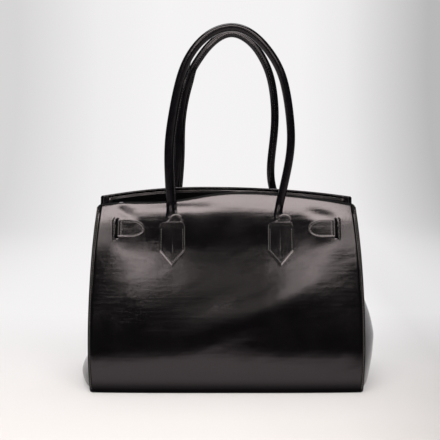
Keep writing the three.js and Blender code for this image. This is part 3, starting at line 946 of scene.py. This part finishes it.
TRIM_HANDS = (("left", -1), ("right", 1))
TAB_LEAN = math.radians(16)
TAB_SKIRT = 0.06
TAB_MERGE = 0.001 * MM
DOME_RISE = 9.6 * MM
DOME_HALF = 9.6 * MM
DOME_SHIFT = 4.8 * MM
TAB_ROUND = 8 * MM
TAB_WEDGE = 1.8 * MM
TAB_SEAM_TOP = -18 * MM
TAB_TOP_SLOPE = 0.09
TAB_LINE, TAB_LINE_HALF = 0.12 * MM, 0.9 * MM
STRAP_TILT = 0.06
STRAP_ROUND = 18 * MM
STRAP_SKIRT = 0.08
STRAP_TURN = 2.4 * MM
STRAP_BEND = STRAP_TURN * math.pi / 2
STRAP_TAIL = 5 * MM
CROSS_SEAM = 2.6 * MM
DENT_DEPTH, DENT_HALF, DENT_GAP = 0.15 * MM, 0.8 * MM, 5 * MM
# Rolled borders: how far they rise and fall, and their slope
POINT_BORDER = (0.35 * MM, 2 * MM, 0.42)
SIDE_BORDER = (0.35 * MM, 0.9 * MM, 0.3)
TOP_BORDER = (1.6 * MM, 1 * MM, 0.19)
STRAP_BORDER = (1 * MM, 1.2 * MM, 0.21)
# How far skirts and threads stand over the leather
SKIRT_GAP = 0.05 * MM
TAB_THREAD, STRAP_THREAD, SLOT_THREAD = 0.05 * MM, 0.15 * MM, 0.1 * MM


def border_roll(to_edge, outer, inner, slope):
    """Height of a rolled border that rises from the edge and falls to the field at one slope."""
    rising = np.clip(to_edge / outer, 0, 1) * outer
    falling = np.clip((to_edge - outer) / inner, 0, 1) * inner
    return slope * (rising - falling + inner - outer)


def tab_half_width(size, along):
    """Half a tab's width at a distance below its top: a round top, rounded shoulders and a point."""
    half = size.tab_width / 2
    into = np.clip((along + DOME_RISE + TAB_ROUND) / TAB_ROUND, 0, 1)
    shoulders = half - (half - DOME_HALF) * (1 - np.sqrt(1 - into ** 2))
    dome = DOME_HALF * np.sqrt(np.clip(1 - ((along + DOME_RISE) / DOME_RISE) ** 2, 0, 1))
    pointed = half * (along + size.tab_length) / size.tab_point
    wide = np.where(along > -DOME_RISE, dome, np.minimum(shoulders, pointed))
    return np.clip(wide, 0.15 * MM, half)


def tab_rise(size, x, along):
    """Height of a tab's face: rolled border, field that stands off at the point, faint line, lower top."""
    half = size.tab_width / 2
    slope = math.atan2(size.tab_point, half)
    to_point = (along + size.tab_length - np.abs(x) * size.tab_point / half) * math.cos(slope)
    to_side = np.minimum(tab_half_width(size, along) - np.abs(x), -DOME_RISE - along)
    low_roll = border_roll(to_point, *POINT_BORDER)
    border = np.where(to_point < to_side, low_roll, border_roll(to_side, *SIDE_BORDER))
    line = -TAB_LINE * hump(x, TAB_LINE_HALF) * ease(-52 * MM, -44 * MM, along)
    line = line * (1 - ease(-22 * MM, -16 * MM, along))
    field = size.tab_leather - TAB_WEDGE * along / size.tab_length + line
    to_round = (1 - np.hypot(x / DOME_HALF, (along + DOME_RISE) / DOME_RISE)) * DOME_RISE
    top = size.tab_leather + TAB_TOP_SLOPE * (along + DOME_RISE) + border_roll(to_round, *TOP_BORDER)
    return np.where(along > -DOME_RISE, top, field + border)


def tab_seam(size):
    """Corners of a tab's row of stitches, across and down from the top."""
    inset = size.border + 1 * MM
    half = size.tab_width / 2
    slope = math.atan2(size.tab_point, half)
    side = half - inset
    tip = inset / math.cos(slope) - size.tab_length
    shoulder = tip + side * math.tan(slope)
    return [(-side, TAB_SEAM_TOP), (-side, shoulder), (0, tip), (side, shoulder), (side, TAB_SEAM_TOP)]


class TOTE_OT_tabs(bpy.types.Operator):
    """Four pointed handle tabs with raised, stitched borders"""

    bl_idname = "tote.tabs"
    bl_label = "Handle tabs"

    def execute(self, context):
        for side, turn in (("front", 1), ("back", -1)):
            for hand, way in TRIM_HANDS:
                self.tab(context.scene.tote_sizes, side, turn, hand, way)
        return {"FINISHED"}

    def tab(self, size, side, turn, hand, way):
        """A tab, which follows the panel under it; its round top sits to one side, by the handle's end."""

        def over_panel(x, along, out):
            z = size.tab_top + along * math.cos(TAB_LEAN)
            shift = turn * DOME_SHIFT * ease(-DOME_RISE - 3 * MM, -DOME_RISE + 3 * MM, along)
            return panel_spot(size, way * size.tab_spacing / 2 + x + shift, z, out, side)

        def shape(u, v):
            over = (2 * u - 1) * (1 + TAB_SKIRT)
            rise = (2 * v - 1) * (1 + TAB_SKIRT)
            along = -size.tab_length * (1 - (np.clip(rise, -1, 1) + 1) / 2)
            x = turn * np.clip(over, -1, 1) * tab_half_width(size, along)
            edge = (np.abs(over) > 1) | (np.abs(rise) > 1)
            return over_panel(x, along, np.where(edge, SKIRT_GAP, tab_rise(size, x, along)))

        def thread_rise(x, along):
            return tab_rise(size, x, along) + TAB_THREAD

        piece = grid_piece(f"{side}_{hand}_tab_leather", 96, 120, shape)
        merge_and_close(piece, TAB_MERGE)
        dress(piece, "calf_trim", "body", [f"{side}_{hand}_handle_tab"])
        sewn_line(f"{side}_{hand}_tab_stitches", tab_seam(size), size.stitch_pitch, over_panel, thread_rise)


def strap_rise(size, p, y):
    """Height of a strap's face from its tip along p: raised border, soft field and a cross seam."""
    half = size.strap_width / 2
    ahead, aside = np.minimum(p - STRAP_ROUND, 0) / STRAP_ROUND, y / half
    share = np.hypot(ahead, aside)
    to_edge = (1 - share) * share / np.maximum(np.hypot(ahead / STRAP_ROUND, aside / half), 1)
    border = border_roll(to_edge, *STRAP_BORDER)
    run = size.slot_place - size.strap_tip
    seam = -DENT_DEPTH * hump(p - run + DENT_GAP, DENT_HALF)
    tilt = STRAP_TILT * (y + np.hypot(y, 3 * MM)) / 2
    return size.strap_leather + tilt + border + seam


def strap_seam(size, run):
    """Points of a strap's row of stitches, along from its tip and up: an oval end and a cross seam."""
    inset = size.border + 0.9 * MM
    high = size.strap_width / 2 - inset
    arc = np.radians(np.linspace(90, 270, 25))
    oval = [(STRAP_ROUND + (STRAP_ROUND - inset) * math.cos(t), high * math.sin(t)) for t in arc]
    end = run - CROSS_SEAM
    return [(end, high), *oval, (end, -high), (end, high)]


class TOTE_OT_straps(bpy.types.Operator):
    """Two side straps with round stitched ends, which turn in through their slots"""

    bl_idname = "tote.straps"
    bl_label = "Side straps"

    def execute(self, context):
        for hand, way in TRIM_HANDS:
            self.strap(context.scene.tote_sizes, hand, way)
        return {"FINISHED"}

    def strap(self, size, hand, way):
        """A strap and its stitches, and the stitched surround on the panel, outside the slot."""
        half = size.strap_width / 2
        run = size.slot_place - size.strap_tip - STRAP_TURN

        def over_panel(x, y, out):
            return panel_spot(size, way * x, size.strap_height + y, out, "front")

        def shape(u, v):
            over = (2 * v - 1) * (1 + STRAP_SKIRT)
            p = u * (run + STRAP_BEND + STRAP_TAIL)
            ahead = np.minimum(p / STRAP_ROUND - 1, 0)
            high = np.maximum(half * np.sqrt(np.clip(1 - ahead ** 2, 0, 1)), 0.2 * MM)
            y = way * np.clip(over, -1, 1) * high
            angle = np.clip((p - run) / STRAP_TURN, 0, math.pi / 2)
            sink = STRAP_TURN * (1 - np.cos(angle)) + np.maximum(p - run - STRAP_BEND, 0)
            rise = strap_rise(size, p, y) * np.where(np.abs(over) > 1, 0.02, 1)
            x = size.strap_tip + np.minimum(p, run) + (STRAP_TURN + rise) * np.sin(angle)
            return over_panel(x, y, rise * np.cos(angle) - sink + 0.1 * MM)

        def over_strap(p, y, out):
            return over_panel(size.strap_tip + p, y, out)

        def beside_slot(x, y, out):
            return over_panel(size.slot_place + x, y, out)

        def strap_thread(p, y):
            return strap_rise(size, p, y) + STRAP_THREAD

        def slot_thread(x, y):
            return SLOT_THREAD

        piece = grid_piece(f"{hand}_strap_leather", 72, 40, shape)
        merge_and_close(piece)
        dress(piece, "calf_trim", "body", [f"{hand}_side_strap"])
        pitch = size.stitch_pitch
        sewn_line(f"{hand}_strap_stitches", strap_seam(size, run), pitch, over_strap, strap_thread)
        wide, high = size.slot_width / 2 + 2.2 * MM, half + 3 * MM
        surround = [(2 * MM, high), (wide, high), (wide, -high), (2 * MM, -high)]
        sewn_line(f"{hand}_slot_stitches", surround, pitch, beside_slot, slot_thread)


# The handles' routes in millimetres: each leg's steps in from its root and up from the axis, and the peak
HANDLE_ROUTES = {
    "front": {
        "shift": -2.5,
        "left": ((-5, 66.1), (-0.5, 117.1), (10.2, 167.1), (23.4, 198.1), (47, 223.1)),
        "peak": (8, 232.1),
        "right": ((-10.7, 66.1), (-11.5, 117.1), (-2.5, 167.1), (12, 197.1), (35, 222.1)),
    },
    "rear": {
        "shift": 0,
        "left": ((5.2, 61.1), (7.2, 114.1), (18.5, 167.1), (31.8, 192.6), (49.6, 214.6)),
        "peak": (6, 227.6),
        "right": ((5.6, 20.1), (9, 36.1), (9, 61.1), (4.5, 114.1), (10, 167.1), (20, 193.1), (37, 216.1)),
    },
}
ROUTE_POINTS = 900
ROUTE_ROWS = 321
ROLL_POINTS = 33
ROOT_REACH = 7 * MM
# The handles' feet lean out with the panels, from a height over the axis down, and flatten at their ends
FOOT_LEAN = 0.33
FOOT_START = 9 * MM
FOOT_LENGTH = 12 * MM
FOOT_SPREAD = 0.2
FOOT_FLAT = 0.55
FOOT_SHIFT = 1.6 * MM
WELT_HALF = 1.2 * MM
WELT_TURN = math.radians(75)
WELT_TURN_FROM, WELT_TURN_TO = 0.3, 0.4
WELT_FOOT_ANGLE = 0.12
WELT_SEAM = 0.55
WELT_THREAD = 0.02 * MM
# The welts end this far from the right roots, and cords and stitches this high over the roots' axis
WELT_START = 36 * MM
WELT_FADE = 6 * MM
CLEAR_START = 22 * MM
CORD_GAP = 1.7 * MM


def smooth_line(points, count):
    """A natural cubic through points in the plane, by their spacing."""
    points = np.asarray(points, float)
    gaps = np.linalg.norm(np.diff(points, axis=0), axis=1) ** 0.5
    at = np.concatenate([[0], np.cumsum(gaps)])
    number = len(points)
    matrix = np.eye(number)
    right = np.zeros_like(points)
    for i in range(1, number - 1):
        before, after = gaps[i - 1], gaps[i]
        matrix[i, i - 1:i + 2] = (before, 2 * (before + after), after)
        right[i] = 6 * ((points[i + 1] - points[i]) / after - (points[i] - points[i - 1]) / before)
    bend = np.linalg.solve(matrix, right)
    wanted = np.linspace(0, at[-1], count)
    span = np.clip(np.searchsorted(at, wanted, side="right") - 1, 0, number - 2)
    width = (at[span + 1] - at[span])[:, None]
    low = (at[span + 1] - wanted)[:, None]
    high = (wanted - at[span])[:, None]
    line = bend[span] * low ** 3 / (6 * width) + bend[span + 1] * high ** 3 / (6 * width)
    line += (points[span] / width - bend[span] * width / 6) * low
    return line + (points[span + 1] / width - bend[span + 1] * width / 6) * high


def handle_route(size, route):
    """A handle's middle line as x and z, from under its left root over the peak to under its right root."""
    half = size.tab_spacing / 2
    shift = route["shift"] * MM
    low = AXIS_HEIGHT - ROOT_REACH
    places = [(shift - half, low), (shift - half, AXIS_HEIGHT)]
    places += [(-half + inwards * MM, AXIS_HEIGHT + up * MM) for inwards, up in route["left"]]
    places += [(route["peak"][0] * MM, AXIS_HEIGHT + route["peak"][1] * MM)]
    places += [(half - inwards * MM, AXIS_HEIGHT + up * MM) for inwards, up in reversed(route["right"])]
    places += [(half + shift, AXIS_HEIGHT), (half + shift, low)]
    dense = smooth_line(places, ROUTE_POINTS)
    lengths = line_lengths(dense)
    even = np.linspace(0, lengths[-1], ROUTE_ROWS)
    return np.stack([np.interp(even, lengths, axis) for axis in dense.T], axis=1), lengths[-1]


def handle_section(size):
    """Section of the roll with its welt inwards, as inward and sideways distances, closed on itself."""
    radius = size.handle_radius
    top = radius + size.welt
    start = math.asin(WELT_HALF / radius) + WELT_FOOT_ANGLE
    arc = np.linspace(start, 2 * math.pi - start, ROLL_POINTS)
    roll = [(radius * math.cos(t), radius * math.sin(t)) for t in arc]
    climb = [(radius + 0.25 * MM, WELT_HALF), (top - 0.5 * MM, WELT_HALF), (top, WELT_HALF * 0.55)]
    welt = [(deep, -beside) for deep, beside in climb] + climb[::-1]
    return np.array(roll + welt + roll[:1])


def off_line(line, inward, reach, y):
    """Points that stand inwards from a handle's middle line, at depths."""
    place = line + inward * reach[:, None]
    return np.stack([place[:, 0], y, place[:, 1]], axis=-1)


class TOTE_OT_handles(bpy.types.Operator):
    """Two rolled handles with stitched welts, whose ends fan out onto the tabs and bend there"""

    bl_idname = "tote.handles"
    bl_label = "Handles"

    def execute(self, context):
        size = context.scene.tote_sizes
        section = handle_section(size)
        for side, way in (("front", -1), ("rear", 1)):
            line, length = handle_route(size, HANDLE_ROUTES[side])
            run = unit(np.gradient(line, axis=0))
            inward = np.stack([run[:, 1], -run[:, 0]], axis=1)
            at = np.linspace(0, length, len(line))
            to_end = np.minimum(at, length - at)
            flat = 1 - ease(0, FOOT_LENGTH, to_end)
            welt_start = np.where(at < length / 2, 0, WELT_START)
            welt_left = ease(welt_start, welt_start + WELT_FADE, to_end)
            below = FOOT_START - (line[:, 1] - AXIS_HEIGHT)
            lean_out = FOOT_LEAN * (below + np.hypot(below, 3 * MM)) / 2 + FOOT_SHIFT * flat
            turn = -way * WELT_TURN * ease(WELT_TURN_FROM, WELT_TURN_TO, at / length)
            middle = way * AXIS_DEPTH

            def shape(u, v):
                row = np.rint(v * (len(line) - 1)).astype(int)
                inner, beside = section[np.rint(u * (len(section) - 1)).astype(int)].T
                past = np.maximum(inner - size.handle_radius, 0)
                deep = inner - past * (1 - welt_left[row])
                cos, sin = np.cos(turn[row]), np.sin(turn[row])
                reach = (deep * cos - beside * sin) * (1 + FOOT_SPREAD * flat[row])
                aside = (deep * sin + beside * cos) * (1 - FOOT_FLAT * flat[row])
                return off_line(line[row], inward[row], reach, way * (AXIS_DEPTH + lean_out[row]) + aside)

            piece = grid_piece(f"{side}_handle_roll", len(section) - 1, len(line) - 1, shape)
            merge_and_close(piece, FINE_DISTANCE)
            dress(piece, "calf_handle", None, [f"{side}_handle_cover"])
            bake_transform(piece)
            clear = line[:, 1] > AXIS_HEIGHT + CLEAR_START
            self.cord_core(size, side, line[clear], inward[clear], middle)
            self.welt_stitches(size, side, line, inward, turn, middle, clear & (welt_left == 1))
        return {"FINISHED"}

    def cord_core(self, size, side, line, inward, middle):
        """The cotton cord in a handle, from above one root to above the other."""
        radius = size.handle_radius - CORD_GAP

        def shape(u, v):
            row = np.rint(v * (len(line) - 1)).astype(int)
            angle = 2 * math.pi * u
            return off_line(line[row], inward[row], radius * np.cos(angle), middle + radius * np.sin(angle))

        core = grid_piece(f"{side}_handle_cord", 12, len(line) - 1, shape)
        merge_and_close(core, FINE_DISTANCE)
        dress(core, "cotton_cord", f"{side}_handle", [f"{side}_handle_core"])

    def welt_stitches(self, size, side, line, inward, turn, middle, stitched):
        """Stitches on both faces of the welt, from above one root to above the other."""
        deep = size.handle_radius + WELT_SEAM * size.welt
        faces = off_line(np.zeros_like(line), inward, -np.sin(turn), np.cos(turn))
        for face, way in (("near", -1), ("far", 1)):
            out = way * (WELT_HALF + WELT_THREAD)
            reach = deep * np.cos(turn) - out * np.sin(turn)
            path = off_line(line, inward, reach, middle + deep * np.sin(turn) + out * np.cos(turn))
            spots, ahead = even_steps(path[stitched], size.stitch_pitch)
            near = np.linalg.norm(spots[:, None] - path[None], axis=2).argmin(axis=1)
            name = f"{side}_handle_{face}_stitches"
            stitch_row(name, spots, ahead, way * faces[near], "handle_thread", f"{side}_handle")


SEAM_STITCH_LONG = 2.3 * MM
SEAM_STITCH_THICK = 0.4 * MM
SEAM_SLANT = 1.1
SEAM_STITCH_INSET = 2.2 * MM
SEAM_STITCH_RISE = 0.15 * MM


class TOTE_OT_seams(bpy.types.Operator):
    """Stitches along the side seams of both panels"""

    bl_idname = "tote.seams"
    bl_label = "Side seams"

    def execute(self, context):
        size = context.scene.tote_sizes
        z = np.linspace(5 * MM, size.corner_height - 6 * MM, 120)
        for side in ("front", "back"):
            for hand, way in TRIM_HANDS:
                x = way * (half_width(size, z) - SEAM_STITCH_INSET)
                spots, ahead = even_steps(panel_spot(size, x, z, SEAM_STITCH_RISE, side), size.stitch_pitch)
                across, up = spots[:, 0], spots[:, 2]
                foot = panel_spot(size, across, up, 0, side)
                out = panel_spot(size, across, up, 1 * MM, side) - foot
                beside = panel_spot(size, across + way * 1 * MM, up, 0, side) - foot
                slant = unit(ahead) * MM + SEAM_SLANT * beside
                stitch_row(f"{side}_{hand}_seam_stitches", spots, slant, out, "seam_thread", "body",
                           SEAM_STITCH_LONG, SEAM_STITCH_THICK)
        return {"FINISHED"}


# Stage

SWEEP_START, SWEEP_LENGTH = -2.2, 5.2
SWEEP_BACK, SWEEP_BEND = 1.3, 0.5
SWEEP_HALF = 2.6
WARM, WHITE = (1, 0.96, 0.9), (1, 1, 1)
FRONT_AIM = (0, -0.05, 0.16)
ROOM_GREY = (0.012, 0.012, 0.0125, 1)
SENSOR_WIDTH, FOCAL_LENGTH = 36, 78.57
CAMERA_PLACE = (-0.0082, -1.25, 0.39)
CAMERA_TILT = math.radians(90 - 8.25)

# Groups of lamps: shares of their size, colour, and each lamp's name, place, aim, sides, brightness and roll
LAMPS = (
    ((0.3, 0.55, 0.8, 1.05), WARM, (
        ("left_box", (-0.53, -1.62, 0.905), FRONT_AIM, 0.52, 0.15, 8.8, -24),
        ("right_box", (0.55, -1.62, 0.92), FRONT_AIM, 0.58, 0.17, 6.3, 23),
        ("centre_box", (0, -1.62, 0.7), FRONT_AIM, 0.5, 0.3, 0.6, 0),
    )),
    ((0.7, 0.85, 1.0), WARM, (
        ("top_box", (-0.03, -0.76, 1.19), (0, -0.03, 0.2), 1.6, 0.32, 8.6, 0),
    )),
    ((0.6, 1.0), WARM, (
        ("right_wall", (0.92, -1.25, 1.08), (0.1, -0.03, 0.2), 0.5, 0.45, 2.9, 0),
        ("left_wall", (-0.97, -1.25, 1.25), (-0.1, -0.03, 0.2), 0.45, 0.55, 2.9, 0),
    )),
    ((1.0,), WHITE, (
        ("back_box", (-0.1, 0.4, 1.8), (0, -0.05, 0.1), 1.6, 1.0, 4.6, 0),
    )),
)


def soft_lamp(name, place, aim, wide, high, radiance, colour, roll):
    """A rectangular soft lamp of a given brightness that points at a spot, rolled by degrees."""
    lamp = bpy.data.lights.new(name, "AREA")
    lamp.shape = "RECTANGLE"
    lamp.size = wide
    lamp.size_y = high
    lamp.energy = radiance * math.pi * wide * high
    lamp.color = colour
    holder = bpy.data.objects.new(name, lamp)
    bpy.context.collection.objects.link(holder)
    holder.location = place
    ahead = np.array(aim, float) - np.array(place, float)
    ahead /= np.linalg.norm(ahead)
    aimed = Euler((math.acos(-ahead[2]), 0, math.atan2(ahead[0], -ahead[1]) + math.pi)).to_matrix()
    holder.rotation_euler = (aimed @ Matrix.Rotation(math.radians(roll), 3, "Z")).to_euler()


class TOTE_OT_stage(bpy.types.Operator):
    """Pale paper sweep, soft lamps, a dim room and the camera"""

    bl_idname = "tote.stage"
    bl_label = "Stage"

    def execute(self, context):
        scene = context.scene
        scene.view_settings.view_transform = "Standard"

        def sweep(u, v):
            run = v * SWEEP_LENGTH + SWEEP_START
            angle = np.clip((run - SWEEP_BACK) / SWEEP_BEND, 0, math.pi / 2)
            y = np.minimum(run, SWEEP_BACK) + SWEEP_BEND * np.sin(angle)
            upright = np.maximum(run - SWEEP_BACK - SWEEP_BEND * math.pi / 2, 0)
            z = SWEEP_BEND * (1 - np.cos(angle)) + upright
            return np.stack([(2 * u - 1) * SWEEP_HALF, y, z], axis=-1)

        floor = grid_piece("paper_sweep", 4, 90, sweep)
        make_active(floor)
        bpy.ops.object.shade_smooth()
        floor.data.materials.append(finish_of("studio_paper"))

        for shares, colour, boxes in LAMPS:
            for share in shares:
                for name, place, aim, wide, high, radiance, roll in boxes:
                    soft_lamp(name, place, aim, wide * share, high * share, radiance, colour, roll)

        room = bpy.data.worlds.new("dim_room")
        scene.world = room
        room.use_nodes = True
        backdrop = room.node_tree.nodes["Background"].inputs
        backdrop["Color"].default_value = ROOM_GREY
        backdrop["Strength"].default_value = 1

        lens = bpy.data.cameras.new("view")
        lens.sensor_width = SENSOR_WIDTH
        lens.lens = FOCAL_LENGTH
        camera = bpy.data.objects.new("view", lens)
        scene.collection.objects.link(camera)
        camera.location = CAMERA_PLACE
        camera.rotation_euler = (CAMERA_TILT, 0, 0)
        scene.camera = camera
        return {"FINISHED"}


class TOTE_PT_builder(bpy.types.Panel):
    """Lists the steps that build the tote"""

    bl_idname = "TOTE_PT_builder"
    bl_label = "Tote"
    bl_space_type = "VIEW_3D"
    bl_region_type = "UI"
    bl_category = "Tote"

    def draw(self, context):
        for step in STEPS:
            self.layout.operator(step.bl_idname)
        for group in (context.scene.tote_sizes, context.scene.tote_colours):
            for name in group.bl_rna.properties.keys():
                if name not in ("rna_type", "name"):
                    self.layout.prop(group, name)


STEPS = (
    TOTE_OT_stage,
    TOTE_OT_panels,
    TOTE_OT_gussets,
    TOTE_OT_base,
    TOTE_OT_lining,
    TOTE_OT_facings,
    TOTE_OT_tabs,
    TOTE_OT_straps,
    TOTE_OT_handles,
    TOTE_OT_seams,
)
CLASSES = (ToteSizes, ToteColours, *STEPS, TOTE_PT_builder)


def register():
    for cls in CLASSES:
        bpy.utils.register_class(cls)
    bpy.types.Scene.tote_sizes = PointerProperty(type=ToteSizes)
    bpy.types.Scene.tote_colours = PointerProperty(type=ToteColours)


def unregister():
    del bpy.types.Scene.tote_colours
    del bpy.types.Scene.tote_sizes
    for cls in reversed(CLASSES):
        bpy.utils.unregister_class(cls)


def main():
    register()
    bpy.ops.tote.stage()
    bpy.ops.tote.panels()
    bpy.ops.tote.gussets()
    bpy.ops.tote.base()
    bpy.ops.tote.lining()
    bpy.ops.tote.facings()
    bpy.ops.tote.tabs()
    bpy.ops.tote.straps()
    bpy.ops.tote.handles()
    bpy.ops.tote.seams()


if __name__ == "__main__":
    main()
